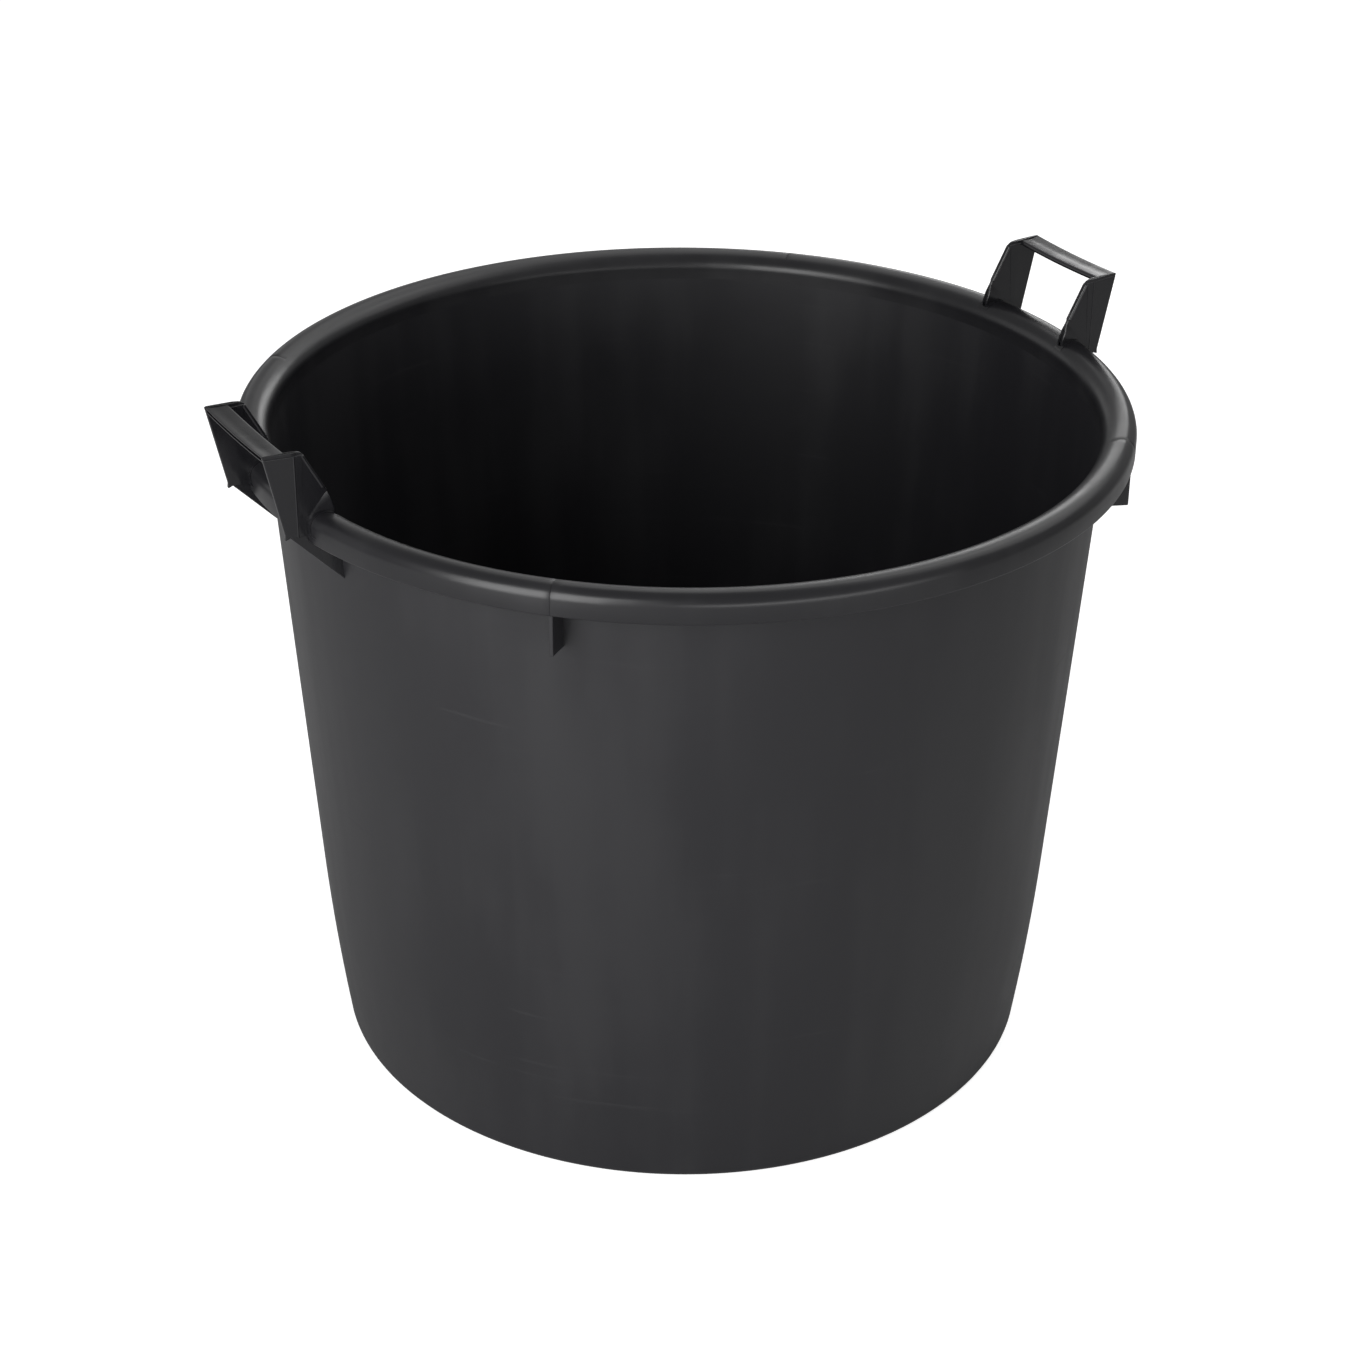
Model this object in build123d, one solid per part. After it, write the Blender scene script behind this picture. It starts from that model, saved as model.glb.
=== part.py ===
from build123d import *
import os
from math import asin, cos, degrees, radians, sin, sqrt, tan

# A round builders tub with two fixed handles, moulded in black polyethylene.
# Millimetres. The origin is the centre of the standing face, +Z is up and the handles lie on the X axis.

# Tub
tub_height = 463.0            # standing face to the top of the rim
wall_thickness = 3.0          # wall and rim alike
wall_draft = 3.8              # degrees that the wall leans out
lower_curve_start = 130.0     # height below which the wall curves in
lower_curve_radius = 1800.0
floor_thickness = 4.0
floor_corner = 8.0            # inside round between the wall and the floor
foot_height = 3.5             # depth of the hollow under the floor
foot_width = 12.0             # flat of the ring that the tub stands on
foot_bevel = 2.0              # slope on the inside of that ring
base_round = 6.0              # outside round between the wall and the foot
base_land = 1.0               # least of the floor's edge left above that round

# Rolled rim
rim_radius = 300.0            # outside of the rim
rim_width = 22.5              # outside to inside of the rim
rim_round = 8.3               # outer round of the rim, and the height of its crown
rim_depth = 19.0              # top of the rim to the edge of its skirt
skirt_round = 1.2             # round on that edge

# Handles
cheek_spacing = 90.0          # middle of one cheek to the middle of the other
cheek_edge_thickness = 2.6
cheek_ridge_thickness = 4.6   # along the upright ridge
ridge_reach = 2.0             # ridge outside of the rim
handle_rise = 43.5            # top of the cheek above the rim
handle_reach = 23.4           # top of the cheek outside of the rim
cheek_top_width = 25.7
cheek_top_fall = 1.3          # inner end of the cheek's top edge lower than its outer end
knee_height = 14.9            # bend in the cheek's inner edge above the rim
knee_step = 4.9               # that bend outside of the cheek's inner foot
cheek_inset = 4.2             # inner foot outside of the rim's inner edge
foot_reach = 10.9             # outer foot outside of the rim
foot_drop = 13.7              # outer foot below the top of the rim
flare = 1.3                   # extra thickness on each side at the inner foot
flare_reach = 5.0             # outer end of that flare, outside of the rim
flare_drop = 8.0              # outer end of that flare, below the top of the rim
pad_rise = 0.8                # raised band over the rim under a cheek
pad_width = 7.0

# Grip between the cheeks
grip_width = 16.0
grip_setback = 0.4            # grip's outer face behind the cheeks' outer edges
grip_drop = 1.5               # grip's top edges below the cheeks' top corners
grip_crown = 0.6              # rise of the rounded top above those edges
grip_thickness = 3.2          # top edges to the underside
grip_edge_round = 1.2
grip_sag = 0.4                # middle of the grip lower than its ends
grip_overrun = 1.0            # degrees of arc past the middle of each cheek, trimmed off

# Ribs under the rim
rib_thickness = 2.6
fin_setback = 1.4             # fins behind the outside of the rim
gusset_setback = 2.5          # gussets behind the outer feet of the cheeks
rib_drop = 49.5               # foot of the ribs on the wall, below the top of the rim
fin_rise = 3.5                # outer lower corner of a fin above that foot
fin_angle = 44.0              # degrees from the handles to the fins and to the seams of the rim

# Levels and radii that follow from these sizes
draft_slope = tan(radians(wall_draft))
floor_top = foot_height + floor_thickness
skirt_level = tub_height - rim_depth
shoulder_level = tub_height - rim_round
rib_level = tub_height - rib_drop
crown_radius = rim_radius - rim_round
rim_inner_radius = rim_radius - rim_width
wall_top_radius = rim_inner_radius - draft_slope * (shoulder_level - skirt_level) + wall_thickness
base_corner = min(base_round, floor_top - base_land)

# Corners of a cheek of the right handle, as X and Z
cheek_offset = cheek_spacing / 2
foot_inner = (sqrt(rim_inner_radius**2 - cheek_offset**2) + cheek_inset, tub_height)
foot_outer = (rim_radius + foot_reach, tub_height - foot_drop)
foot_sunk = (foot_inner[0], foot_outer[1])
knee = (foot_inner[0] + knee_step, tub_height + knee_height)
top_outer = (rim_radius + handle_reach, tub_height + handle_rise)
top_inner = (top_outer[0] - cheek_top_width, top_outer[1] - cheek_top_fall)


def wall_radius(height):
    """Outside radius of the wall: a cone above the start of the lower curve, an arc below it."""
    if height >= lower_curve_start:
        return wall_top_radius - draft_slope * (skirt_level - height)
    lean = radians(wall_draft)
    centre_radius = wall_radius(lower_curve_start) - lower_curve_radius * cos(lean)
    centre_height = lower_curve_start + lower_curve_radius * sin(lean)
    return centre_radius + sqrt(lower_curve_radius**2 - (height - centre_height) ** 2)


def turned(*edges, start=0, sweep=360):
    """Solid turned about Z from the edges of a closed section, given as radius and height."""
    section = make_face(Plane.XZ * Curve(edges))
    return Rot(0, 0, start) * revolve(section, Axis.Z, sweep)


def arc_of_wall(inset, low, high):
    """The curved lower stretch of a wall face, from the height low to the height high."""
    middle = (low + high) / 2
    return ThreePointArc(
        (wall_radius(low) - inset, low),
        (wall_radius(middle) - inset, middle),
        (wall_radius(high) - inset, high),
    )


def make_wall():
    """The tapered wall, from the floor's upper face to the rim's lower edge."""
    corner_top = floor_top + floor_corner
    corner_radius = wall_radius(corner_top) - wall_thickness
    outer_top = (wall_top_radius, skirt_level)
    inner_top = (wall_top_radius - wall_thickness, skirt_level)
    outer_bend = (wall_radius(lower_curve_start), lower_curve_start)
    inner_bend = (outer_bend[0] - wall_thickness, lower_curve_start)
    corner_end = (corner_radius - floor_corner, floor_top)
    return turned(
        Line(inner_top, outer_top),
        Line(outer_top, outer_bend),
        arc_of_wall(0, floor_top, lower_curve_start),
        Line((wall_radius(floor_top), floor_top), corner_end),
        TangentArc(corner_end, (corner_radius, corner_top), tangent=(1, 0)),
        arc_of_wall(wall_thickness, corner_top, lower_curve_start),
        Line(inner_bend, inner_top),
    )


def make_floor():
    """The floor, hollow underneath within the ring that the tub stands on."""
    edge = (wall_radius(floor_top), floor_top)
    ring_outer = (wall_radius(base_corner) - base_corner, 0)
    ring_inner = (ring_outer[0] - foot_width, 0)
    hollow_edge = (ring_inner[0] - foot_bevel, foot_height)
    return turned(
        Line((0, floor_top), edge),
        arc_of_wall(0, base_corner, floor_top),
        TangentArc(ring_outer, (wall_radius(base_corner), base_corner), tangent=(1, 0)),
        Line(ring_outer, ring_inner),
        Line(ring_inner, hollow_edge),
        Line(hollow_edge, (0, foot_height)),
        Line((0, foot_height), (0, floor_top)),
    )


def rim_crown(inset):
    """The two rounds over the top of the rim, moved into it by inset."""
    centre = (crown_radius, shoulder_level)
    height = rim_round - inset
    inner = EllipticalCenterArc(centre, crown_radius - rim_inner_radius - inset, height, 90, arc_size=90)
    outer = CenterArc(centre, height, 0, 90)
    return inner, outer


def make_rim(start, sweep):
    """A stretch of the rolled rim, an upside-down U of even thickness that stands on the wall."""
    inner_foot = (wall_top_radius - wall_thickness, skirt_level)
    hollow_foot = (wall_top_radius, skirt_level)
    hollow_inner = (rim_inner_radius + wall_thickness, shoulder_level)
    hollow_outer = (rim_radius - wall_thickness, shoulder_level)
    skirt_inner = (rim_radius - wall_thickness, skirt_level)
    skirt_low = (rim_radius - skirt_round, skirt_level)
    skirt_side = (rim_radius, skirt_level + skirt_round)
    return turned(
        Line(inner_foot, (rim_inner_radius, shoulder_level)),
        *rim_crown(0),
        Line((rim_radius, shoulder_level), skirt_side),
        TangentArc(skirt_side, skirt_low, tangent=(0, -1)),
        Line(skirt_low, skirt_inner),
        Line(skirt_inner, hollow_outer),
        *rim_crown(wall_thickness),
        Line(hollow_inner, hollow_foot),
        Line(hollow_foot, inner_foot),
        start=start,
        sweep=sweep,
    )


def rim_block(rise):
    """The rim as a full block with no hollow, made larger by rise inside, above and outside."""
    base_inner = (wall_top_radius - wall_thickness - rise, skirt_level)
    base_outer = (rim_radius + rise, skirt_level)
    return turned(
        Line(base_inner, (rim_inner_radius - rise, shoulder_level)),
        *rim_crown(-rise),
        Line((rim_radius + rise, shoulder_level), base_outer),
        Line(base_outer, base_inner),
    )


def rib_room():
    """The space for a rib: round the wall, up into the rim, and outside it up to the feet of the cheeks."""
    wall_foot = (wall_radius(rib_level), rib_level)
    outer_foot = (foot_outer[0], rib_level)
    rim_side = (rim_radius, foot_outer[1])
    skirt_side = (rim_radius, skirt_level + skirt_round)
    skirt_low = (rim_radius - skirt_round, skirt_level)
    skirt_inner = (rim_radius - wall_thickness, skirt_level)
    hollow_foot = (wall_top_radius, skirt_level)
    return turned(
        Line(wall_foot, outer_foot),
        Line(outer_foot, foot_outer),
        Line(foot_outer, rim_side),
        Line(rim_side, skirt_side),
        TangentArc(skirt_side, skirt_low, tangent=(0, -1)),
        Line(skirt_low, skirt_inner),
        Line(skirt_inner, (rim_radius - wall_thickness, shoulder_level)),
        *rim_crown(wall_thickness),
        Line((rim_inner_radius + wall_thickness, shoulder_level), hollow_foot),
        Line(hollow_foot, wall_foot),
    )


def plate(outline, thickness):
    """A flat plate from an outline in X and Z, with its middle on the XZ plane."""
    face = make_face(Plane.XZ * Polyline(*outline, close=True))
    return extrude(face, thickness / 2, both=True)


def handle_slab(half_width, low, high):
    """A block that takes in the right handle, between the heights low and high."""
    block = Box(top_outer[0], 2 * half_width, high - low, align=(Align.MIN, Align.CENTER, Align.MIN))
    return Pos(0, 0, low) * block


def cheek_pad(side):
    """The raised band over the rim's crown at the foot of a cheek, with the rim that is under it."""
    band = handle_slab(pad_width / 2, shoulder_level, tub_height + pad_rise)
    return rim_block(pad_rise) & (Pos(0, side * cheek_offset, 0) * band)


def cheek_plate():
    """The upright plate of a cheek, thickest along its ridge and thinner towards both edges."""
    outline = (top_outer, top_inner, knee, foot_inner, foot_sunk, foot_outer)
    edge_half = cheek_edge_thickness / 2
    ridge_half = cheek_ridge_thickness / 2
    ridge = rim_radius + ridge_reach
    plan = Polyline(
        (foot_inner[0], -edge_half),
        (ridge, -ridge_half),
        (top_outer[0], -edge_half),
        (top_outer[0], edge_half),
        (ridge, ridge_half),
        (foot_inner[0], edge_half),
        close=True,
    )
    tapered = extrude(make_face(plan), top_outer[1] - foot_outer[1])
    return plate(outline, cheek_ridge_thickness) & (Pos(0, 0, foot_outer[1]) * tapered)


def cheek_flare():
    """The wedge at a cheek's foot: as thin as the plate's edge at the knee, widest at the inner foot."""
    thin = cheek_edge_thickness / 2
    wide = thin + flare
    far = (rim_radius + flare_reach, tub_height - flare_drop)
    corners = ((knee, thin), (foot_inner, wide), (foot_sunk, wide), (far, thin))
    front = [Vector(x, -half, z) for (x, z), half in corners]
    rear = [Vector(x, half, z) for (x, z), half in corners]
    outlines = []
    for upper, inner, sunk, outer in (front, rear):
        outlines.append((upper, inner, outer))
        outlines.append((inner, sunk, outer))
    for start in range(len(corners)):
        end = (start + 1) % len(corners)
        outlines.append((front[start], front[end], rear[end], rear[start]))
    faces = [Face(Wire.make_polygon(outline)) for outline in outlines]
    return Solid(Shell(faces))


def make_cheek(side):
    """A cheek of the right handle with its pad: side is -1 for the front and 1 for the rear."""
    plates = Pos(0, side * cheek_offset, 0) * (cheek_plate() + cheek_flare())
    return plates + cheek_pad(side) - rim_block(0)


def make_grip(cheeks):
    """The bar between the cheeks of the right handle, its outer face in line with their outer edges."""
    lean = (top_outer[0] - foot_outer[0]) / (top_outer[1] - foot_outer[1])
    outer_top = (top_outer[0] - lean * grip_drop - grip_setback, top_outer[1] - grip_drop)
    outer_low = (outer_top[0] - lean * grip_thickness, outer_top[1] - grip_thickness)
    inner_top = (outer_top[0] - grip_width, outer_top[1])
    inner_low = (inner_top[0], outer_low[1])
    crown = (outer_top[0] - grip_width / 2, outer_top[1] + grip_crown)
    outline = make_face(
        Curve(
            [
                ThreePointArc(outer_top, crown, inner_top),
                Line(inner_top, inner_low),
                Line(inner_low, outer_low),
                Line(outer_low, outer_top),
            ]
        )
    )
    section = Plane.XZ * fillet(outline.vertices(), grip_edge_round)
    sag_radius = (cheek_offset**2 + grip_sag**2) / (2 * grip_sag)
    swing = degrees(asin(cheek_offset / sag_radius)) + grip_overrun
    hub = Axis((0, 0, outer_top[1] - grip_sag + sag_radius), (1, 0, 0))
    lowered = Pos(0, 0, -grip_sag) * section
    bar = revolve(lowered.rotate(hub, -swing), hub, 2 * swing)
    bar = bar & handle_slab(cheek_offset, tub_height, top_outer[1])
    for cheek in cheeks:
        bar = bar - cheek
    return bar


def make_fin(room):
    """An upright rib on the X axis, its lower edge falling slightly towards the wall."""
    inner = rim_inner_radius - rim_width
    outer = rim_radius - fin_setback
    outline = (
        (inner, rib_level),
        (wall_radius(rib_level), rib_level),
        (outer, rib_level + fin_rise),
        (outer, tub_height),
        (inner, tub_height),
    )
    return plate(outline, rib_thickness) & room


def make_gusset(side, room):
    """A rib sloping from a right cheek's foot to the wall: side is -1 for the front and 1 for the rear."""
    wall_face = sqrt(wall_radius(rib_level) ** 2 - cheek_offset**2)
    outer = foot_outer[0] - gusset_setback
    inner = wall_face - rim_width
    outline = (
        (inner, rib_level),
        (wall_face, rib_level),
        (outer, foot_outer[1]),
        (outer, tub_height),
        (inner, tub_height),
    )
    return (Pos(0, side * cheek_offset, 0) * plate(outline, rib_thickness)) & room


def solid_of(shape, name):
    """The one solid of a finished piece."""
    solids = shape.solids()
    if len(solids) != 1:
        raise ValueError(f"{name} is {len(solids)} solids")
    return solids[0]


pieces = {"tub_wall": make_wall(), "tub_floor": make_floor()}

side_sweep = 2 * fin_angle
end_sweep = 180 - side_sweep
pieces["right_rim"] = make_rim(-fin_angle, side_sweep)
pieces["rear_rim"] = make_rim(fin_angle, end_sweep)
pieces["left_rim"] = make_rim(180 - fin_angle, side_sweep)
pieces["front_rim"] = make_rim(180 + fin_angle, end_sweep)

room = rib_room()
front_cheek = make_cheek(-1)
rear_cheek = make_cheek(1)
right_handle = {
    "front_cheek": front_cheek,
    "rear_cheek": rear_cheek,
    "grip": make_grip((front_cheek, rear_cheek)),
    "front_gusset": make_gusset(-1, room),
    "rear_gusset": make_gusset(1, room),
}
for name, shape in right_handle.items():
    pieces["right_" + name] = shape
    pieces["left_" + name] = mirror(shape, about=Plane.YZ)

fin = make_fin(room)
fin_turns = {
    "front_right_fin": -fin_angle,
    "rear_right_fin": fin_angle,
    "rear_left_fin": 180 - fin_angle,
    "front_left_fin": 180 + fin_angle,
}
for name, turn in fin_turns.items():
    pieces[name] = Rot(0, 0, turn) * fin

os.makedirs("parts", exist_ok=True)
for name, shape in pieces.items():
    solid = solid_of(shape, name)
    export_step(solid, f"parts/{name}.step")
    print(name, round(solid.volume / 1000, 2), "cm3")
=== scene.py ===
from math import asin, cos, degrees, radians, sin, sqrt, tan

import bmesh
import bpy
from mathutils import Matrix, Vector


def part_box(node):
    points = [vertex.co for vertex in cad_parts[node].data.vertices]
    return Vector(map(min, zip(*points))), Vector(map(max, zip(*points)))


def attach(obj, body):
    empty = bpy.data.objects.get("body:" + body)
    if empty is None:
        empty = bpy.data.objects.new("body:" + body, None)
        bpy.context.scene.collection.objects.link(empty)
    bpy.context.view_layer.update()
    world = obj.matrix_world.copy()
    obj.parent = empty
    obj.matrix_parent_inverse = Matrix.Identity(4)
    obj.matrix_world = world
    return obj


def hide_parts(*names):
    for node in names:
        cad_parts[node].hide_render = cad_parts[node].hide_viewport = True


# Black moulded builders tub with two fixed handles.
# The pieces are modelled in millimetres, and each finished mesh is scaled to metres.
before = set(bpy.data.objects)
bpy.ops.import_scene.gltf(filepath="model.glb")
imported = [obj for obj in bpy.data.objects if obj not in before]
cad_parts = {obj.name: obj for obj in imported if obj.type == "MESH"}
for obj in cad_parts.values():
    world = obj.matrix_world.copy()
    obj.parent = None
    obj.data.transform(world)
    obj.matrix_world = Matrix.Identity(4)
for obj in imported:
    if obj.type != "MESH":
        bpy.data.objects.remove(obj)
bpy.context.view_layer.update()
mm = 0.001
longEdge = 200.0  # longer edges of a profile are divided before it is spun


def nodeBox(node):
    low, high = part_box(node)
    return Vector(low) / mm, Vector(high) / mm


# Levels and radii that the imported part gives
rimLow, rimHigh = nodeBox("front_rim")
wallLow, wallHigh = nodeBox("tub_wall")
rimTop = rimHigh.z
skirtLevel = rimLow.z
rimRadius = -rimLow.y
wallTopRadius = wallHigh.x
floorTop = wallLow.z
cheekMiddle = sum(corner.y for corner in nodeBox("right_rear_cheek")) / 2
print("frame loaded, rim top at", round(rimTop, 1), "mm")


# Mesh helpers: a profile is drawn in the XZ plane, a positive turn is clockwise seen with X to the right
def lineTo(bm, last, x, z):
    new = bm.verts.new((x, 0, z))
    bm.edges.new((last, new))
    return new


def arcTo(bm, last, centreX, centreZ, turn, steps, flatten=1, widen=1):
    before = set(bm.verts)
    spun = bmesh.ops.spin(bm, geom=[last], cent=(centreX, 0, centreZ), axis=(0, 1, 0),
                          angle=radians(turn), steps=steps)
    new = [v for v in bm.verts if v not in before]
    home = Matrix.Translation((-centreX, 0, -centreZ))
    bmesh.ops.scale(bm, vec=(widen, 1, flatten), space=home, verts=new)
    return [g for g in spun["geom_last"] if isinstance(g, bmesh.types.BMVert)][0]


def divideLong(bm, cuts):
    longEdges = [e for e in bm.edges if e.calc_length() > longEdge]
    bmesh.ops.subdivide_edges(bm, edges=longEdges, cuts=cuts)


def spinRound(bm, start, sweep, steps):
    bmesh.ops.rotate(bm, verts=bm.verts, matrix=Matrix.Rotation(radians(start), 3, "Z"))
    firstEdges = bm.edges[:]
    spun = bmesh.ops.spin(bm, geom=bm.verts[:] + bm.edges[:], axis=(0, 0, 1), angle=radians(sweep),
                          steps=steps, use_merge=sweep == 360)
    if sweep < 360:
        lastEdges = [g for g in spun["geom_last"] if isinstance(g, bmesh.types.BMEdge)]
        bmesh.ops.edgeloop_fill(bm, edges=firstEdges)
        bmesh.ops.edgeloop_fill(bm, edges=lastEdges)


def roundCorner(bm, vert, radius):
    bmesh.ops.bevel(bm, geom=[vert], offset=radius, offset_type="OFFSET", affect="VERTICES",
                    segments=5, profile=0.5, material=-1)


def plateFrom(bm, outline, thickness, corners=()):
    verts = [bm.verts.new((x, -thickness / 2, z)) for x, z in outline]
    bm.faces.new(verts)
    for corner, radius in corners:
        roundCorner(bm, verts[corner], radius)
    grown = bmesh.ops.extrude_face_region(bm, geom=bm.faces[:])
    far = [g for g in grown["geom"] if isinstance(g, bmesh.types.BMVert)]
    bmesh.ops.translate(bm, vec=(0, thickness, 0), verts=far)


def hullOf(bm, points):
    verts = [bm.verts.new(point) for point in points]
    made = bmesh.ops.convex_hull(bm, input=verts)
    spare = [g for g in made["geom_unused"] + made["geom_interior"] if isinstance(g, bmesh.types.BMVert)]
    bmesh.ops.delete(bm, geom=spare, context="VERTS")


def joinTo(bm, other):
    mesh = bpy.data.meshes.new("joined")
    other.to_mesh(mesh)
    other.free()
    bm.from_mesh(mesh)
    bpy.data.meshes.remove(mesh)


def tidyMesh(bm):
    bmesh.ops.remove_doubles(bm, verts=bm.verts, dist=0.001)
    bmesh.ops.recalc_face_normals(bm, faces=bm.faces)


def roundEdges(bm, radius, segments, angle=40):
    sharp = [e for e in bm.edges if e.is_manifold and e.calc_face_angle(0) > radians(angle)]
    bmesh.ops.bevel(bm, geom=sharp, offset=radius, offset_type="OFFSET", affect="EDGES",
                    segments=segments, profile=0.5, material=-1, clamp_overlap=True)


def makePiece(bm, name, node, material, flatFaces=False):
    tidyMesh(bm)
    bmesh.ops.scale(bm, vec=(mm, mm, mm), verts=bm.verts)
    mesh = bpy.data.meshes.new(name)
    bm.to_mesh(mesh)
    bm.free()
    mesh.shade_smooth()
    mesh.set_sharp_from_angle(angle=radians(60 if flatFaces else 30))
    piece = bpy.data.objects.new(name, mesh)
    bpy.context.scene.collection.objects.link(piece)
    if flatFaces:
        weigh = piece.modifiers.new("flat_faces", "WEIGHTED_NORMAL")
        weigh.keep_sharp = True
    mesh.materials.append(material)
    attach(piece, "root")
    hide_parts(node)


# Material helpers
def newMaterial(name):
    material = bpy.data.materials.new(name)
    material.use_nodes = True
    nodes = material.node_tree.nodes
    return material, nodes, material.node_tree.links, nodes["Principled BSDF"]


def noiseOn(nodes, links, scale, detail, stretch, seed):
    coords = nodes.new("ShaderNodeTexCoord")
    mapping = nodes.new("ShaderNodeMapping")
    mapping.inputs["Scale"].default_value = stretch
    mapping.inputs["Location"].default_value = seed
    noise = nodes.new("ShaderNodeTexNoise")
    noise.inputs["Scale"].default_value = scale
    noise.inputs["Detail"].default_value = detail
    links.new(coords.outputs["Object"], mapping.inputs["Vector"])
    links.new(mapping.outputs["Vector"], noise.inputs["Vector"])
    return noise.outputs["Fac"]


def between(nodes, links, value, low, high, toLow, toHigh):
    ranged = nodes.new("ShaderNodeMapRange")
    ranged.interpolation_type = "SMOOTHSTEP"
    ranged.inputs["From Min"].default_value = low
    ranged.inputs["From Max"].default_value = high
    ranged.inputs["To Min"].default_value = toLow
    ranged.inputs["To Max"].default_value = toHigh
    links.new(value, ranged.inputs["Value"])
    return ranged.outputs["Result"]


def mixColours(nodes, links, amount, first, second):
    mix = nodes.new("ShaderNodeMix")
    mix.data_type = "RGBA"
    mix.inputs["A"].default_value = (*first, 1)
    mix.inputs["B"].default_value = (*second, 1)
    links.new(amount, mix.inputs["Factor"])
    return mix.outputs["Result"]


def mathOf(nodes, links, operation, first, second):
    node = nodes.new("ShaderNodeMath")
    node.operation = operation
    links.new(first, node.inputs[0])
    links.new(second, node.inputs[1])
    return node.outputs["Value"]


def bumpFrom(nodes, links, height, distance, strength, under=None):
    bump = nodes.new("ShaderNodeBump")
    bump.inputs["Distance"].default_value = distance
    bump.inputs["Strength"].default_value = strength
    links.new(height, bump.inputs["Height"])
    if under:
        links.new(under, bump.inputs["Normal"])
    return bump.outputs["Normal"]


def fadeUp(nodes, links, low, high, toLow, toHigh):
    coords = nodes.new("ShaderNodeTexCoord")
    parts = nodes.new("ShaderNodeSeparateXYZ")
    links.new(coords.outputs["Object"], parts.inputs["Vector"])
    return between(nodes, links, parts.outputs["Z"], low * mm, high * mm, toLow, toHigh)


def fadeOut(nodes, links, low, high, toLow, toHigh):
    coords = nodes.new("ShaderNodeTexCoord")
    flat = nodes.new("ShaderNodeVectorMath")
    flat.operation = "MULTIPLY"
    flat.inputs[1].default_value = (1, 1, 0)
    distance = nodes.new("ShaderNodeVectorMath")
    distance.operation = "LENGTH"
    links.new(coords.outputs["Object"], flat.inputs[0])
    links.new(flat.outputs["Vector"], distance.inputs[0])
    return between(nodes, links, distance.outputs["Value"], low * mm, high * mm, toLow, toHigh)


# Black plastic with streaks, blotches and scuffs of wear, a fine grain and shallow dents, its colour
# scaled down as painted shade for darker copies
plasticLook = {
    "black": (0.0145, 0.0143, 0.0167),
    "worn": (0.0200, 0.0198, 0.0222),
    "ior": 1.5,
    "streakScale": 28,
    "streakStretch": (1, 1, 0.07),
    "blotchScale": 9,
    "blotchStretch": (1, 1, 0.6),
    "scuffScale": 7,
    "scuffStretch": (1, 1, 22),
    "scuffStart": 0.66,
    "scuffFull": 0.8,
    "scuffShare": 0.4,
    "wearStart": 0.85,
    "wearFull": 1.25,
    "roughStart": 0.8,
    "grainScale": 900,
    "grainDepth": 0.00005,  # metres, like the unevenness of each plastic
    "grainStrength": 0.25,
    "dentScale": 45,
    "mattTop": 4.0,
    "mattFull": 20.0,
    "mattNone": 17.0,
}


def blackPlastic(name, seed, paintedShade, smoothest, roughest, unevenness, mattInside=0):
    look = plasticLook
    material, nodes, links, shader = newMaterial(name)
    streaks = noiseOn(nodes, links, look["streakScale"], 5, look["streakStretch"], seed)
    blotches = noiseOn(nodes, links, look["blotchScale"], 4, look["blotchStretch"], seed)
    scuffs = noiseOn(nodes, links, look["scuffScale"], 3, look["scuffStretch"], seed)
    grain = noiseOn(nodes, links, look["grainScale"], 2, (1, 1, 1), seed)
    dents = noiseOn(nodes, links, look["dentScale"], 1, (1, 1, 1), seed)
    scuffed = between(nodes, links, scuffs, look["scuffStart"], look["scuffFull"], 0, look["scuffShare"])
    wear = mathOf(nodes, links, "ADD", streaks, blotches)
    wear = mathOf(nodes, links, "ADD", wear, scuffed)
    amount = between(nodes, links, wear, look["wearStart"], look["wearFull"], 0, 1)
    # painted shade: both colours are scaled down, so the rim and handle copies come out darker than the
    # wall
    black = tuple(paintedShade * part for part in look["black"])
    worn = tuple(paintedShade * part for part in look["worn"])
    colour = mixColours(nodes, links, amount, black, worn)
    links.new(colour, shader.inputs["Base Color"])
    rough = between(nodes, links, wear, look["roughStart"], look["wearFull"], smoothest, roughest)
    if mattInside:
        # as matt as the wall where the inside of the rim runs into it
        upward = fadeUp(nodes, links, skirtLevel, rimTop - look["mattTop"], mattInside, 0)
        outward = fadeOut(nodes, links, rimRadius - look["mattFull"], rimRadius - look["mattNone"], 1, 0)
        matt = mathOf(nodes, links, "MULTIPLY", upward, outward)
        rough = mathOf(nodes, links, "ADD", rough, matt)
    links.new(rough, shader.inputs["Roughness"])
    shader.inputs["IOR"].default_value = look["ior"]
    wave = bumpFrom(nodes, links, dents, unevenness, 1)
    fine = bumpFrom(nodes, links, grain, look["grainDepth"], look["grainStrength"], wave)
    links.new(fine, shader.inputs["Normal"])
    return material


# one plastic in three copies; the rim and handle copies are darkened by painted shade
wallPlastic = blackPlastic("wall_plastic", seed=(0, 0, 0), paintedShade=1, smoothest=0.39, roughest=0.47,
                           unevenness=0.0001)
rimPlastic = blackPlastic("rim_plastic", seed=(3, 1, 2), paintedShade=0.8, smoothest=0.29, roughest=0.35,
                          unevenness=0.0002, mattInside=0.12)
handlePlastic = blackPlastic("handle_plastic", seed=(5, 7, 1), paintedShade=0.75, smoothest=0.17, roughest=0.23,
                             unevenness=0.0003)
print("materials made")


# Wall: a cone that curves in towards the foot
wall = {
    "thickness": 3.0,
    "draft": 3.8,
    "bendLevel": 130.0,
    "bendRadius": 1800.0,
    "corner": 8.0,
    "rings": 11,
    "steps": 384,
}
wallSlope = tan(radians(wall["draft"]))
bendOuter = wallTopRadius - wallSlope * (skirtLevel - wall["bendLevel"])
bendCentreX = bendOuter - wall["bendRadius"] * cos(radians(wall["draft"]))
bendCentreZ = wall["bendLevel"] + wall["bendRadius"] * sin(radians(wall["draft"]))


def leanAt(height):
    return degrees(asin((bendCentreZ - height) / wall["bendRadius"]))


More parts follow.
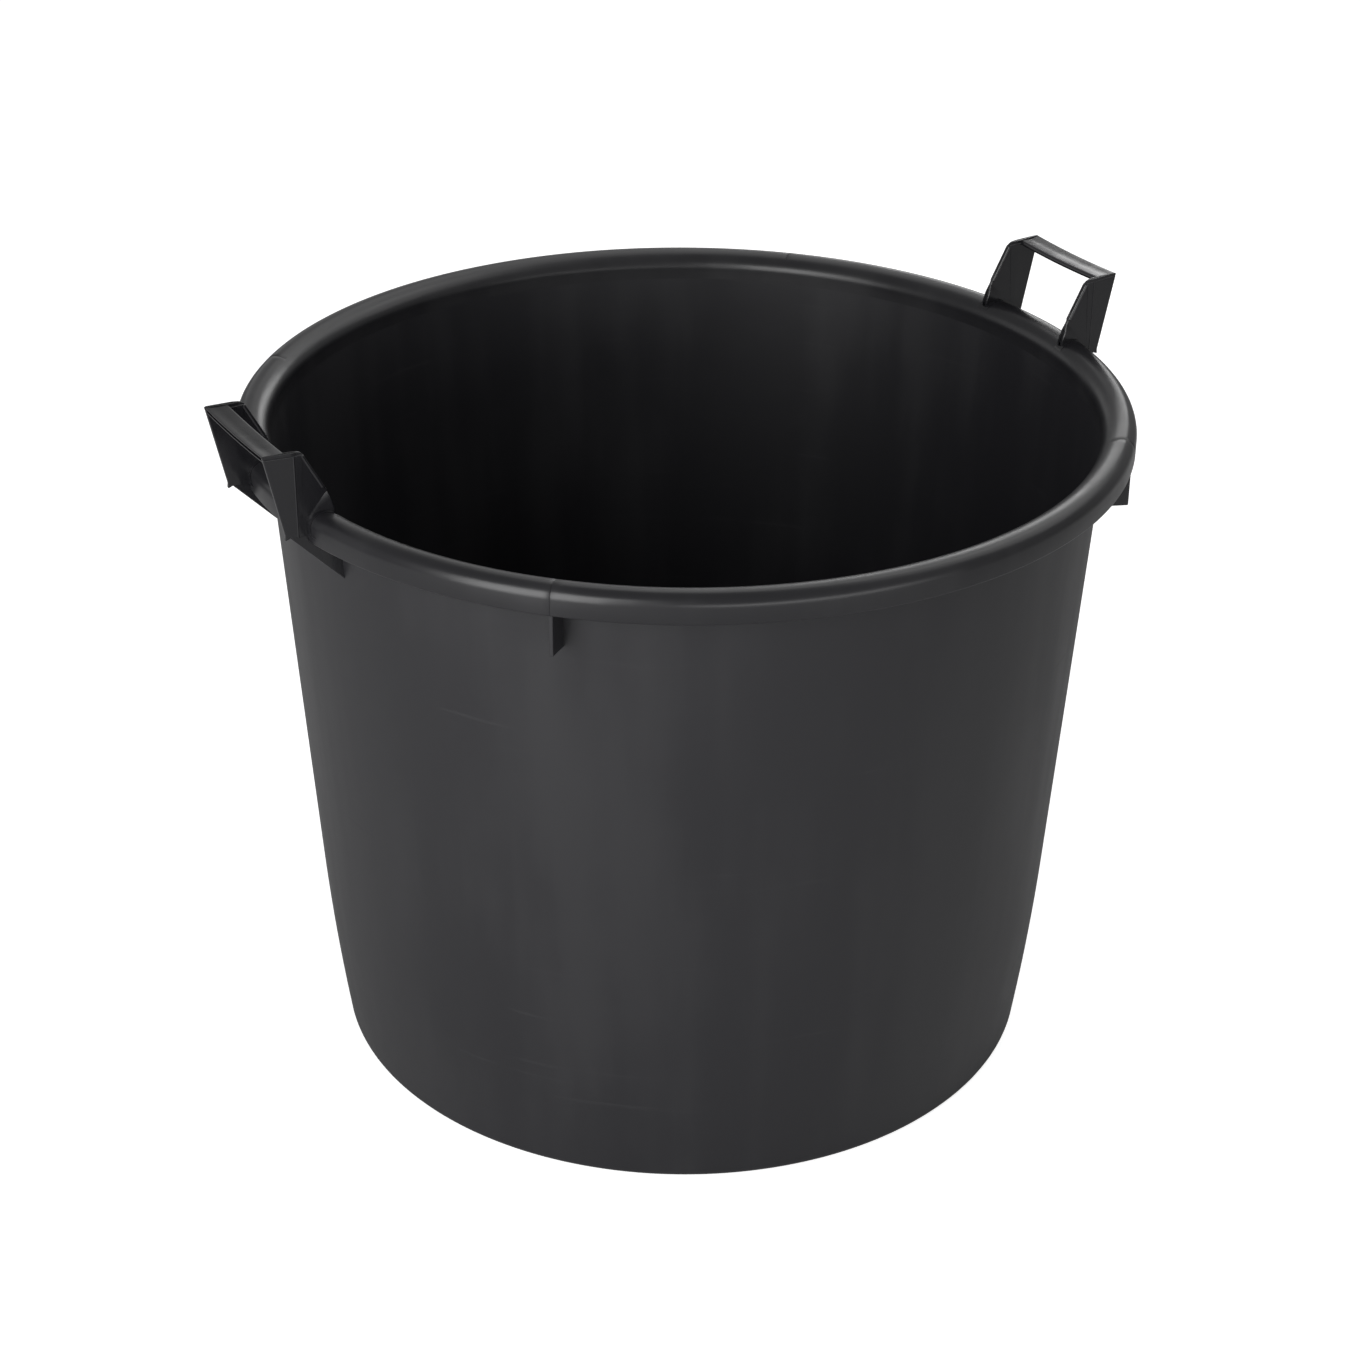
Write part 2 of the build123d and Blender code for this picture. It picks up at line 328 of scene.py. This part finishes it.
def wallRadius(height):
    if height >= wall["bendLevel"]:
        return wallTopRadius - wallSlope * (skirtLevel - height)
    return bendCentreX + sqrt(wall["bendRadius"] ** 2 - (height - bendCentreZ) ** 2)


def buildWall():
    inset = wall["thickness"]
    bend = wall["bendLevel"]
    cornerTop = floorTop + wall["corner"]
    cornerRadius = wallRadius(cornerTop) - inset
    bm = bmesh.new()
    first = bm.verts.new((wallTopRadius - inset, 0, skirtLevel))
    last = lineTo(bm, first, wallTopRadius, skirtLevel)
    last = lineTo(bm, last, bendOuter, bend)
    last = arcTo(bm, last, bendCentreX, bendCentreZ, leanAt(floorTop) - wall["draft"], 14)
    last = lineTo(bm, last, cornerRadius - wall["corner"], floorTop)
    # inside corner, then up the inner face
    last = arcTo(bm, last, cornerRadius - wall["corner"], cornerTop, -90, 8)
    last = arcTo(bm, last, bendCentreX - inset, bendCentreZ, wall["draft"] - leanAt(cornerTop), 14)
    bm.edges.new((last, first))
    divideLong(bm, wall["rings"])
    spinRound(bm, 0, 360, wall["steps"])
    makePiece(bm, "moulded_wall", "tub_wall", wallPlastic)


# Floor: raised underneath, on a foot ring, with the mark of the moulding gate in its middle
floor = {
    "underside": 3.5,
    "footWidth": 12.0,
    "footBevel": 2.0,
    "baseRound": 6.0,
    "gateRadius": 7.0,
    "gateSlope": 1.0,
    "gateDepth": 0.6,
    "nubRadius": 1.6,
    "nubTopRadius": 1.12,
    "rings": 5,
}


def buildFloor():
    baseRound = floor["baseRound"]
    edgeRadius = wallRadius(floorTop)
    ringOuter = wallRadius(baseRound) - baseRound
    ringInner = ringOuter - floor["footWidth"]
    under = floor["underside"]
    bm = bmesh.new()
    first = bm.verts.new((0, 0, floorTop))
    last = lineTo(bm, first, edgeRadius, floorTop)
    last = lineTo(bm, last, wallRadius(baseRound), baseRound)
    last = arcTo(bm, last, ringOuter, baseRound, 90, 8)
    last = lineTo(bm, last, ringInner, 0)
    last = lineTo(bm, last, ringInner - floor["footBevel"], under)
    last = lineTo(bm, last, floor["gateRadius"], under)
    last = lineTo(bm, last, floor["gateRadius"] - floor["gateSlope"], under + floor["gateDepth"])
    last = lineTo(bm, last, floor["nubRadius"], under + floor["gateDepth"])
    last = lineTo(bm, last, floor["nubTopRadius"], under)
    lineTo(bm, last, 0, under)
    divideLong(bm, floor["rings"])
    spinRound(bm, 0, 360, wall["steps"])
    makePiece(bm, "moulded_floor", "tub_floor", wallPlastic)


# Rolled rim in four stretches that meet at the seams over the fins
rim = {
    "width": 22.5,
    "round": 8.3,
    "innerFall": 3.5,
    "thickness": 3.0,
    "skirtRound": 1.2,
    "steps": 96,
    "seamRound": 0.3,
    "seamEnd": 6.0,
    "seamAngle": 44.0,
}
shoulderLevel = rimTop - rim["round"]
crownRadius = rimRadius - rim["round"]
rimInner = rimRadius - rim["width"]
# the inner round runs further down than the outer one
rollLevel = shoulderLevel - rim["innerFall"]
rollInner = rimInner - wallSlope * rim["innerFall"]


def crownOver(bm, first, rise, innerSink):
    # the two rounds over the top, from the inner shoulder to the outer one
    height = rimTop + rise - rollLevel
    reach = crownRadius - rollInner - innerSink
    last = arcTo(bm, first, crownRadius, rollLevel, 90, 18, flatten=height / reach)
    return arcTo(bm, last, crownRadius, shoulderLevel, 90, 10)


def crownBack(bm, first, inset):
    # the underside of the two rounds, from the outer shoulder back to the inner one
    height = rim["round"] - inset
    reach = crownRadius - rimInner - inset
    last = arcTo(bm, first, crownRadius, shoulderLevel, -90, 8)
    return arcTo(bm, last, crownRadius, shoulderLevel, -90, 10, widen=reach / height)


def buildRim(node, start, sweep):
    thick = rim["thickness"]
    skirtRound = rim["skirtRound"]
    bm = bmesh.new()
    first = bm.verts.new((wallTopRadius - thick, 0, skirtLevel))
    last = lineTo(bm, first, rollInner, rollLevel)
    last = crownOver(bm, last, 0, 0)
    last = lineTo(bm, last, rimRadius, skirtLevel + skirtRound)
    last = arcTo(bm, last, rimRadius - skirtRound, skirtLevel + skirtRound, 90, 4)
    last = lineTo(bm, last, rimRadius - thick, skirtLevel)
    last = lineTo(bm, last, rimRadius - thick, shoulderLevel)
    last = crownBack(bm, last, thick)
    last = lineTo(bm, last, wallTopRadius, skirtLevel)
    bm.edges.new((last, first))
    spinRound(bm, start, sweep, rim["steps"])
    tidyMesh(bm)
    # the ends are rounded on the top and the outside, which leaves a fine groove at each seam
    ends = [e for f in bm.faces if len(f.verts) > 4 for e in f.edges]
    shown = [e for e in ends if min(v.co.xy.length for v in e.verts) > rimInner + rim["seamEnd"]]
    bmesh.ops.bevel(bm, geom=shown, offset=rim["seamRound"], offset_type="OFFSET", affect="EDGES",
                    segments=2, profile=0.5, material=-1)
    makePiece(bm, "moulded_" + node, node, rimPlastic)


# Handle cheeks: a ridged plate with a set-back lip along its top, a thick foot and a pad over the rim
cheek = {
    "edgeThickness": 2.6,
    "edgeRound": 0.65,
    "ridgeThickness": 4.4,
    "ridgeReach": 3.4,
    "ridgeRound": 2.5,
    "ridgeBead": 0.7,
    "ridgeBeadSunk": 0.49,
    "rise": 43.45,
    "reach": 23.35,
    "topWidth": 25.7,
    "topFall": 1.3,
    "topRound": 3.0,
    "cornerReach": 1.5,
    "cornerFall": 0.6,
    "cornerRound": 0.5,
    "lipHeight": 2.0,
    "lipSetback": 0.5,
    "lipSunk": 1.0,
    "shoulderRound": 1.5,
    "kneeHeight": 14.9,
    "kneeStep": 4.9,
    "kneeRound": 6.0,
    "kneeSunk": 0.4,
    "beadThickness": 4.2,
    "beadWidth": 3.0,
    "beadRound": 1.3,
    "inset": 4.2,
    "footReach": 10.9,
    "footDrop": 13.7,
    "footThickness": 5.5,
    "flareReach": 1.0,
    "flareDrop": 4.0,
    "flareSunk": 0.6,
    "spur": 1.2,
    "spurReach": 0.84,
    "padRise": 0.8,
    "padInnerSink": 0.4,
    "padDepth": 2.0,
    "padWidth": 9.0,
    "padSweep": 6.0,
    "padRound": 0.8,
    "padTaper": 5.0,
    "ledgeStart": 2.0,
    "ledgeLength": 8.0,
    "ledgeRise": 1.2,
    "ledgeSunk": 1.0,
    "ledgeEndRise": 0.05,
    "ledgeEndSunk": 0.5,
    "ledgeEndHeight": 0.36,
    "ledgeRound": 0.4,
}
ridge = rimRadius + cheek["ridgeReach"]
footInner = (sqrt(rimInner ** 2 - cheekMiddle ** 2) + cheek["inset"], rimTop)
footOuter = (rimRadius + cheek["footReach"], rimTop - cheek["footDrop"])
footSunk = (footInner[0], footOuter[1])
knee = (footInner[0] + cheek["kneeStep"], rimTop + cheek["kneeHeight"])
topOuter = (rimRadius + cheek["reach"], rimTop + cheek["rise"])
topInner = (topOuter[0] - cheek["topWidth"], topOuter[1] - cheek["topFall"])
outerLean = (topOuter[0] - footOuter[0]) / (topOuter[1] - footOuter[1])
innerLean = (topInner[0] - knee[0]) / (topInner[1] - knee[1])
lipOuter = (topOuter[0] - outerLean * cheek["lipHeight"], topOuter[1] - cheek["lipHeight"])
lipInner = (topInner[0] - innerLean * cheek["lipHeight"], topInner[1] - cheek["lipHeight"])


def ridgedPlate(outline, extra, corners):
    # thickest along the upright ridge, thinner towards both edges
    swell = (cheek["ridgeThickness"] - cheek["edgeThickness"]) / 2
    bm = bmesh.new()
    plateFrom(bm, outline, cheek["edgeThickness"] + extra, corners)
    everything = bm.verts[:] + bm.edges[:] + bm.faces[:]
    bmesh.ops.bisect_plane(bm, geom=everything, dist=0.001, plane_co=(ridge, 0, 0), plane_no=(1, 0, 0))
    for side in (-1, 1):
        onRidge = [v for v in bm.verts if v.co.y * side > 0 and abs(v.co.x - ridge) < 0.01]
        bmesh.ops.translate(bm, vec=(0, side * swell, 0), verts=onRidge)
    tidyMesh(bm)
    ridges = [e for e in bm.edges if all(abs(v.co.x - ridge) < 0.01 for v in e.verts)
              and e.verts[0].co.y * e.verts[1].co.y > 0]
    bmesh.ops.bevel(bm, geom=ridges, offset=cheek["ridgeRound"], offset_type="OFFSET", affect="EDGES",
                    segments=4, profile=0.5, material=-1)
    roundEdges(bm, cheek["edgeRound"], 3)
    return bm


def buildPlate():
    spur = cheek["spur"]
    outline = (
        lipOuter,
        lipInner,
        knee,
        footInner,
        footSunk,
        (footOuter[0] - 2 * spur, footOuter[1]),
        (footOuter[0] + cheek["spurReach"], footOuter[1] - spur),
        (footOuter[0] + outerLean * 2 * spur, footOuter[1] + 2 * spur),
    )
    return ridgedPlate(outline, 0, ((1, cheek["shoulderRound"]), (2, cheek["kneeRound"])))


def buildLip():
    # thinner than the plate and sunk into it, so that the plate's edge shows as a step below it
    sunk = cheek["lipSunk"]
    fall = cheek["topFall"] / cheek["topWidth"]
    outline = (
        (topOuter[0] - cheek["cornerReach"], topOuter[1] - fall * cheek["cornerReach"]),
        topInner,
        (lipInner[0] - innerLean * sunk, lipInner[1] - sunk),
        (lipOuter[0] - outerLean * sunk, lipOuter[1] - sunk),
        (topOuter[0], topOuter[1] - cheek["cornerFall"]),
    )
    corners = ((0, cheek["cornerRound"]), (1, cheek["topRound"]))
    return ridgedPlate(outline, -2 * cheek["lipSetback"], corners)


def buildEdgeBead():
    # a thicker edge down the inner side, from the lip to the knee
    wide = cheek["beadWidth"]
    outline = (lipInner, knee, (knee[0] + wide, knee[1]), (lipInner[0] + wide, lipInner[1]))
    bm = bmesh.new()
    plateFrom(bm, outline, cheek["beadThickness"])
    tidyMesh(bm)
    roundEdges(bm, cheek["beadRound"], 4)
    return bm


def buildFoot():
    # thickest along the rim and the inner edge, thinning up to the knee and out to the flare
    thin = cheek["edgeThickness"] / 2
    wide = cheek["footThickness"] / 2
    flareEnd = (rimRadius + cheek["flareReach"], rimTop - cheek["flareDrop"])
    underKnee = ((knee[0] + footInner[0]) / 2, (knee[1] + footInner[1]) / 2)
    # the flare ends a little below the plate's own face
    share = (flareEnd[0] - knee[0]) / (ridge - knee[0])
    level = thin + share * (cheek["ridgeThickness"] / 2 - thin)
    corners = (
        (knee, thin - cheek["kneeSunk"]),
        (underKnee, wide),
        (footInner, wide),
        (footSunk, wide),
        (flareEnd, level - cheek["flareSunk"]),
    )
    bm = bmesh.new()
    hullOf(bm, [(x, side * half, z) for (x, z), half in corners for side in (-1, 1)])
    bmesh.ops.dissolve_limit(bm, angle_limit=radians(0.5), verts=bm.verts, edges=bm.edges)
    roundEdges(bm, cheek["beadRound"], 4)
    # a fine bead down the ridge of the outer face
    radius = cheek["ridgeBead"]
    length = lipInner[1] - footOuter[1]
    out = cheek["ridgeThickness"] / 2 - cheek["ridgeBeadSunk"]
    middle = (ridge, out, lipInner[1] - length / 2)
    bmesh.ops.create_cone(bm, cap_ends=True, segments=16, radius1=radius, radius2=radius, depth=length,
                          matrix=Matrix.Translation(middle))
    return bm


def buildPad():
    # a raised band over the rim, cut off square to the cheek, that sinks into the inner round
    sunk = cheek["padDepth"]
    rise = cheek["padRise"]
    bm = bmesh.new()
    first = bm.verts.new((rollInner + sunk, 0, rollLevel - cheek["padTaper"]))
    last = lineTo(bm, first, rollInner + cheek["padInnerSink"], rollLevel)
    last = crownOver(bm, last, rise, cheek["padInnerSink"])
    last = lineTo(bm, last, rimRadius + rise, footOuter[1])
    last = lineTo(bm, last, rimRadius - sunk, footOuter[1])
    last = lineTo(bm, last, rimRadius - sunk, shoulderLevel)
    last = crownBack(bm, last, sunk)
    bm.edges.new((last, first))
    middle = degrees(asin(cheekMiddle / crownRadius))
    sweep = cheek["padSweep"]
    spinRound(bm, middle - sweep / 2, sweep, 24)
    tidyMesh(bm)
    for side in (-1, 1):
        edge = cheekMiddle + side * cheek["padWidth"] / 2
        everything = bm.verts[:] + bm.edges[:] + bm.faces[:]
        bmesh.ops.bisect_plane(bm, geom=everything, dist=0.0001, plane_co=(0, edge, 0),
                               plane_no=(0, side, 0), clear_outer=True)
        bmesh.ops.holes_fill(bm, edges=[e for e in bm.edges if e.is_boundary])
    tidyMesh(bm)
    roundEdges(bm, cheek["padRound"], 3)
    return bm


def buildLedges():
    # short ledges that run out from the pad along the rim and fade away
    rise = cheek["ledgeRise"]
    sunk = -cheek["ledgeSunk"]
    endSunk = -cheek["ledgeEndSunk"]
    level = footOuter[1]
    bm = bmesh.new()
    for side in (-1, 1):
        near = cheekMiddle + side * cheek["ledgeStart"]
        end = near + side * cheek["ledgeLength"]
        thick = ((near, sunk, 0), (near, rise, 0), (near, rise, rise), (near, sunk, 2 * rise))
        thin = (
            (end, endSunk, 0),
            (end, cheek["ledgeEndRise"], 0),
            (end, endSunk, cheek["ledgeEndHeight"]),
        )
        points = []
        for y, out, up in thick + thin:
            points.append((sqrt((rimRadius + out) ** 2 - y ** 2), y, level + up))
        hullOf(bm, points)
    tidyMesh(bm)
    roundEdges(bm, cheek["ledgeRound"], 2)
    return bm


def buildCheek(node, across, along):
    bm = buildPlate()
    joinTo(bm, buildLip())
    joinTo(bm, buildEdgeBead())
    joinTo(bm, buildFoot())
    bmesh.ops.translate(bm, vec=(0, cheekMiddle, 0), verts=bm.verts)
    joinTo(bm, buildPad())
    joinTo(bm, buildLedges())
    bmesh.ops.scale(bm, vec=(across, along, 1), verts=bm.verts)
    makePiece(bm, "moulded_" + node, node, handlePlastic, flatFaces=True)


# Grip: a bar with a raised lip and a groove along its outer side, that sags a little between the cheeks
grip = {
    "width": 16.0,
    "setback": 0.3,
    "crestDrop": 0.2,
    "flatDrop": 1.1,
    "lipWidth": 6.0,
    "thickness": 3.4,
    "crestRound": 0.6,
    "bendRound": 2.5,
    "innerRound": 2.3,
    "lowRound": 0.8,
    "sheet": 1.0,
    "sheetRound": 0.2,
    "grooveDepth": 2.0,
    "ledgeHeight": 0.9,
    "ledgeRound": 0.3,
    "sag": 1.1,
    "steps": 24,
}


def buildGrip(node, across):
    crestLevel = topOuter[1] - grip["crestDrop"]
    flatLevel = topOuter[1] - grip["flatDrop"]
    lowLevel = flatLevel - grip["thickness"]
    sheetLevel = crestLevel - grip["sheet"]
    ledgeLevel = lowLevel + grip["ledgeHeight"]

    def outside(level):
        return topOuter[0] - grip["setback"] - outerLean * (topOuter[1] - level)

    inner = outside(crestLevel) - grip["width"]
    groove = outside(lowLevel) - grip["grooveDepth"]
    bm = bmesh.new()
    first = bm.verts.new((inner, 0, flatLevel))
    bend = lineTo(bm, first, outside(crestLevel) - grip["lipWidth"], flatLevel)
    crest = lineTo(bm, bend, outside(crestLevel), crestLevel)
    sheet = lineTo(bm, crest, outside(sheetLevel), sheetLevel)
    last = lineTo(bm, sheet, groove, sheetLevel)
    last = lineTo(bm, last, groove, ledgeLevel)
    shelf = lineTo(bm, last, outside(ledgeLevel), ledgeLevel)
    under = lineTo(bm, shelf, outside(lowLevel), lowLevel)
    innerLow = lineTo(bm, under, inner, lowLevel)
    bm.edges.new((innerLow, first))
    bmesh.ops.edgeloop_fill(bm, edges=bm.edges[:])
    rounds = (
        (first, grip["innerRound"]),
        (bend, grip["bendRound"]),
        (crest, grip["crestRound"]),
        (innerLow, grip["lowRound"]),
        (sheet, grip["sheetRound"]),
        (shelf, grip["ledgeRound"]),
        (under, grip["ledgeRound"]),
    )
    for corner, radius in rounds:
        roundCorner(bm, corner, radius)
    # swing the section about a hub far above, so that the bar hangs between the cheeks
    hubSize = (cheekMiddle ** 2 + grip["sag"] ** 2) / (2 * grip["sag"])
    hub = (0, 0, crestLevel - grip["sag"] + hubSize)
    swing = asin(cheekMiddle / hubSize)
    bmesh.ops.translate(bm, vec=(0, 0, -grip["sag"]), verts=bm.verts)
    bmesh.ops.rotate(bm, verts=bm.verts, cent=hub, matrix=Matrix.Rotation(-swing, 3, "X"))
    section = bm.verts[:] + bm.edges[:] + bm.faces[:]
    bmesh.ops.spin(bm, geom=section, cent=hub, axis=(1, 0, 0), angle=2 * swing, steps=grip["steps"])
    bmesh.ops.scale(bm, vec=(across, 1, 1), verts=bm.verts)
    makePiece(bm, "moulded_" + node, node, handlePlastic)


# Ribs under the rim: sloping gussets under the cheeks and square fins at the seams
rib = {
    "thickness": 2.6,
    "finSetback": 1.4,
    "gussetSetback": 2.5,
    "drop": 49.5,
    "finRise": 3.5,
    "sunk": 1.5,
    "crownStep": 7.0,
    "crownDrop": 3.5,
    "finRound": 0.5,
    "gussetRound": 1.1,
}
ribLevel = rimTop - rib["drop"]


def ribInside(offset):
    # the edge hidden in the rim and the wall, on a plate that stands at this distance from the axis
    def across(radius):
        return sqrt(radius ** 2 - offset ** 2)

    sunk = rib["sunk"]
    return (
        (across(crownRadius), rimTop - sunk),
        (across(rimInner + rib["crownStep"]), rimTop - rib["crownDrop"]),
        (across(rimInner + sunk), shoulderLevel),
        (across(wallTopRadius - sunk), skirtLevel),
        (across(wallRadius(ribLevel) - sunk), ribLevel),
    )


def finOutline():
    edge = rimRadius - rib["finSetback"]
    wallFace = (wallRadius(ribLevel), ribLevel)
    return (wallFace, (edge, ribLevel + rib["finRise"]), (edge, shoulderLevel), *ribInside(0))


def gussetOutline():
    # from the wall straight up to the foot of the cheek
    wallFace = sqrt(wallRadius(ribLevel) ** 2 - cheekMiddle ** 2)
    corner = footOuter[0] - rib["gussetSetback"]
    return ((wallFace, ribLevel), (corner, footOuter[1]), *ribInside(cheekMiddle))


def buildRib(node, outline, place, material, edgeRound):
    bm = bmesh.new()
    plateFrom(bm, outline, rib["thickness"])
    tidyMesh(bm)
    roundEdges(bm, edgeRound, 3)
    bmesh.ops.transform(bm, matrix=place, verts=bm.verts)
    makePiece(bm, "moulded_" + node, node, material, flatFaces=True)


buildWall()
buildFloor()
print("wall and floor made")
seam = rim["seamAngle"]
buildRim("right_rim", -seam, 2 * seam)
buildRim("rear_rim", seam, 180 - 2 * seam)
buildRim("left_rim", 180 - seam, 2 * seam)
buildRim("front_rim", 180 + seam, 180 - 2 * seam)
print("rim made")
for side, across in (("right", 1), ("left", -1)):
    buildCheek(side + "_front_cheek", across, -1)
    buildCheek(side + "_rear_cheek", across, 1)
    buildGrip(side + "_grip", across)
    for end, along in (("front", -1), ("rear", 1)):
        place = Matrix.Diagonal((across, 1, 1, 1)) @ Matrix.Translation((0, along * cheekMiddle, 0))
        buildRib(f"{side}_{end}_gusset", gussetOutline(), place, handlePlastic, rib["gussetRound"])
print("handles made")
finTurns = {
    "rear_right_fin": seam,
    "rear_left_fin": 180 - seam,
    "front_left_fin": 180 + seam,
    "front_right_fin": -seam,
}
for node, turn in finTurns.items():
    place = Matrix.Rotation(radians(turn), 4, "Z")
    buildRib(node, finOutline(), place, wallPlastic, rib["finRound"])
print("fins made")


# Studio, in metres: white floor, soft lights and the photograph's camera
studio = {
    "floorSize": 30.0,
    "floorSides": 64,
    "floorColour": (0.6, 0.6, 0.6),
    "floorRoughness": 0.9,
    "floorGlow": 0.82,
    "surround": 0.28,
    "lampAim": 0.3,
    "lampDistance": 2.4,
}


def whiteForCamera(nodes, links, elsewhere, seen):
    path = nodes.new("ShaderNodeLightPath")
    return between(nodes, links, path.outputs["Is Camera Ray"], 0, 1, elsewhere, seen)


def buildFloorStage():
    bm = bmesh.new()
    bmesh.ops.create_circle(bm, cap_ends=True, radius=studio["floorSize"], segments=studio["floorSides"])
    mesh = bpy.data.meshes.new("studio_floor")
    bm.to_mesh(mesh)
    bm.free()
    stage = bpy.data.objects.new("studio_floor", mesh)
    bpy.context.scene.collection.objects.link(stage)
    material, nodes, links, shader = newMaterial("studio_paper")
    shader.inputs["Base Color"].default_value = (*studio["floorColour"], 1)
    shader.inputs["Roughness"].default_value = studio["floorRoughness"]
    shader.inputs["Specular IOR Level"].default_value = 0
    shader.inputs["Emission Color"].default_value = (1, 1, 1, 1)
    links.new(whiteForCamera(nodes, links, 0, studio["floorGlow"]), shader.inputs["Emission Strength"])
    mesh.materials.append(material)


def buildWorld():
    world = bpy.data.worlds.new("studio")
    bpy.context.scene.world = world
    world.use_nodes = True
    nodes = world.node_tree.nodes
    links = world.node_tree.links
    links.new(whiteForCamera(nodes, links, studio["surround"], 1), nodes["Background"].inputs["Strength"])
    nodes["Background"].inputs["Color"].default_value = (1, 1, 1, 1)


lamps = {
    "left_panel": {"turn": 205, "height": 16, "wide": 1.4, "tall": 1.9, "power": 46},
    "left_rear_panel": {"turn": 122, "height": 18, "wide": 1.6, "tall": 1.0, "power": 2.4},
    "front_panel": {"turn": 266, "height": 5, "wide": 2.4, "tall": 0.6, "power": 12},
    "right_high_panel": {"turn": 0, "height": 50, "wide": 1.6, "tall": 1.6, "power": 8},
    "rear_high_panel": {"turn": 45, "height": 50, "wide": 1.6, "tall": 1.6, "power": 6.4},
    "rear_panel": {"turn": 62, "height": 15, "wide": 2.2, "tall": 0.6, "power": 1.6},
    "rear_strip": {"turn": 44, "height": 20, "wide": 0.9, "tall": 0.45, "power": 3.8},
}


def buildLamps():
    # each faces the tub from the same distance, at an angle round Z from +X and an angle above the floor
    aim = Vector((0, 0, studio["lampAim"]))
    for name, lamp in lamps.items():
        light = bpy.data.lights.new(name, "AREA")
        light.shape = "RECTANGLE"
        light.size = lamp["wide"]
        light.size_y = lamp["tall"]
        light.energy = lamp["power"]
        turned = Matrix.Rotation(radians(lamp["turn"]), 3, "Z")
        raised = Matrix.Rotation(-radians(lamp["height"]), 3, "Y")
        out = turned @ raised @ Vector((1, 0, 0))
        holder = bpy.data.objects.new(name, light)
        holder.location = aim + out * studio["lampDistance"]
        holder.rotation_mode = "QUATERNION"
        holder.rotation_quaternion = out.to_track_quat("Z", "Y")
        holder.visible_camera = False
        bpy.context.scene.collection.objects.link(holder)


camera = {
    "place": (-0.9063, -1.5209, 1.2003),
    "look": (0.4495, 0.7571, -0.4741),
    "roll": 0.00665,
    "lens": 75.38,
    "sensor": 36,
}


def buildCamera():
    data = bpy.data.cameras.new("photo_camera")
    data.sensor_width = camera["sensor"]
    data.lens = camera["lens"]
    holder = bpy.data.objects.new("photo_camera", data)
    holder.location = camera["place"]
    turn = Vector(camera["look"]).to_track_quat("-Z", "Y").to_matrix()
    holder.rotation_euler = (turn @ Matrix.Rotation(camera["roll"], 3, "Z")).to_euler()
    bpy.context.scene.collection.objects.link(holder)
    bpy.context.scene.camera = holder


buildFloorStage()
buildWorld()
buildLamps()
buildCamera()
bpy.context.scene.view_settings.view_transform = "Standard"
print("studio made")
